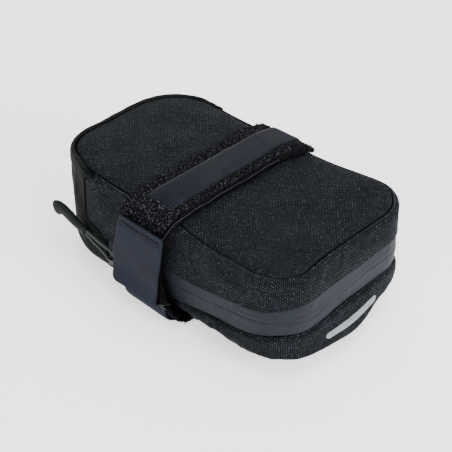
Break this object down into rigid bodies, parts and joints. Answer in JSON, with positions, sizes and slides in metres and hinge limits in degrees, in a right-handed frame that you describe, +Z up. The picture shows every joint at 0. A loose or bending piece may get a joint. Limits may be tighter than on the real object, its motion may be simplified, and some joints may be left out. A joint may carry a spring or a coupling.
{
  "type": "bicycle saddle bag",
  "caption": "Small boxy bicycle saddle bag with a coated zip round its front, a hinged front flap and a hook-and-loop strap that wraps the bag",
  "frame": {"origin": "on the ground under the middle of the strap, halfway between the side walls", "axes": "+X to the zipped front, +Y to the right side (the pull is on the left), +Z up"},
  "size_m": [0.1563, 0.1041, 0.0608],
  "materials": {
    "body_fabric": "woven ribbed polyester, matte with fine speckle",
    "rear_fabric": "smooth coated fabric, matte",
    "zip_tape": "water-resistant coated zip tape, matte",
    "zip_coil": "moulded nylon coil",
    "slider_metal": "black painted, satin",
    "pull_cord": "braided cord, matte",
    "pull_grip": "moulded rubber, matte",
    "loop_fabric": "brushed loop pile",
    "coated_strip": "coated smooth strip, matte",
    "ribbed_strip": "finely ribbed grip strip, matte",
    "hook_tape": "hook tape",
    "lining": "plain woven binding",
    "foam": "closed-cell foam",
    "board": "stiffening board",
    "reflective": "reflective print"
  },
  "bodies": {
    "bag": {"bottom_panel": "body_fabric", "bottom_board": "board", "lower_gusset": "body_fabric", "rear_panel": "rear_fabric", "side_gusset_rear": "body_fabric", "top_panel_rear": "body_fabric", "top_foam_rear": "foam", "binding_top_rear": "lining", "binding_bottom": "lining", "zip_tape_lower": "zip_tape", "zip_tape_upper_rear": "zip_tape", "zip_coil_lower": "zip_coil", "zip_coil_upper_rear": "zip_coil", "zip_stops": "slider_metal", "strap_loop_band": "loop_fabric", "strap_grip_strip": "ribbed_strip", "strap_underlay": "coated_strip", "tab_hem": "coated_strip", "reflective_mark": "reflective"},
    "front_flap": {"top_panel_front": "body_fabric", "top_foam_front": "foam", "front_gusset_upper": "body_fabric", "binding_top_front": "lining", "zip_tape_upper_front": "zip_tape", "zip_coil_upper_front": "zip_coil"},
    "zip_slider": {"slider_body": "slider_metal", "slider_bridge": "slider_metal"},
    "zip_pull": {"pull_cord": "pull_cord", "pull_grip": "pull_grip"},
    "strap_tab": {"tab_face": "coated_strip", "tab_hook": "hook_tape"}
  },
  "joints": [
    {"name": "flap_fold", "type": "hinge", "parent": "bag", "child": "front_flap", "pos_m": [0.0196, 0, 0.058], "axis": [0, -1, 0], "range_deg": [0, 45]},
    {"name": "slider_travel", "type": "slide", "parent": "bag", "child": "zip_slider", "axis": [0.9848, 0, 0.1736], "range_m": [0, 0.074]},
    {"name": "pull_swing", "type": "hinge", "parent": "zip_slider", "child": "zip_pull", "pos_m": [-0.028, -0.0481, 0.01397], "axis": [0, -1, 0], "range_deg": [0, 18]},
    {"name": "tab_lift", "type": "hinge", "parent": "bag", "child": "strap_tab", "pos_m": [0, -0.0537, 0.0451], "axis": [-1, 0, 0], "range_deg": [0, 120]}
  ]
}
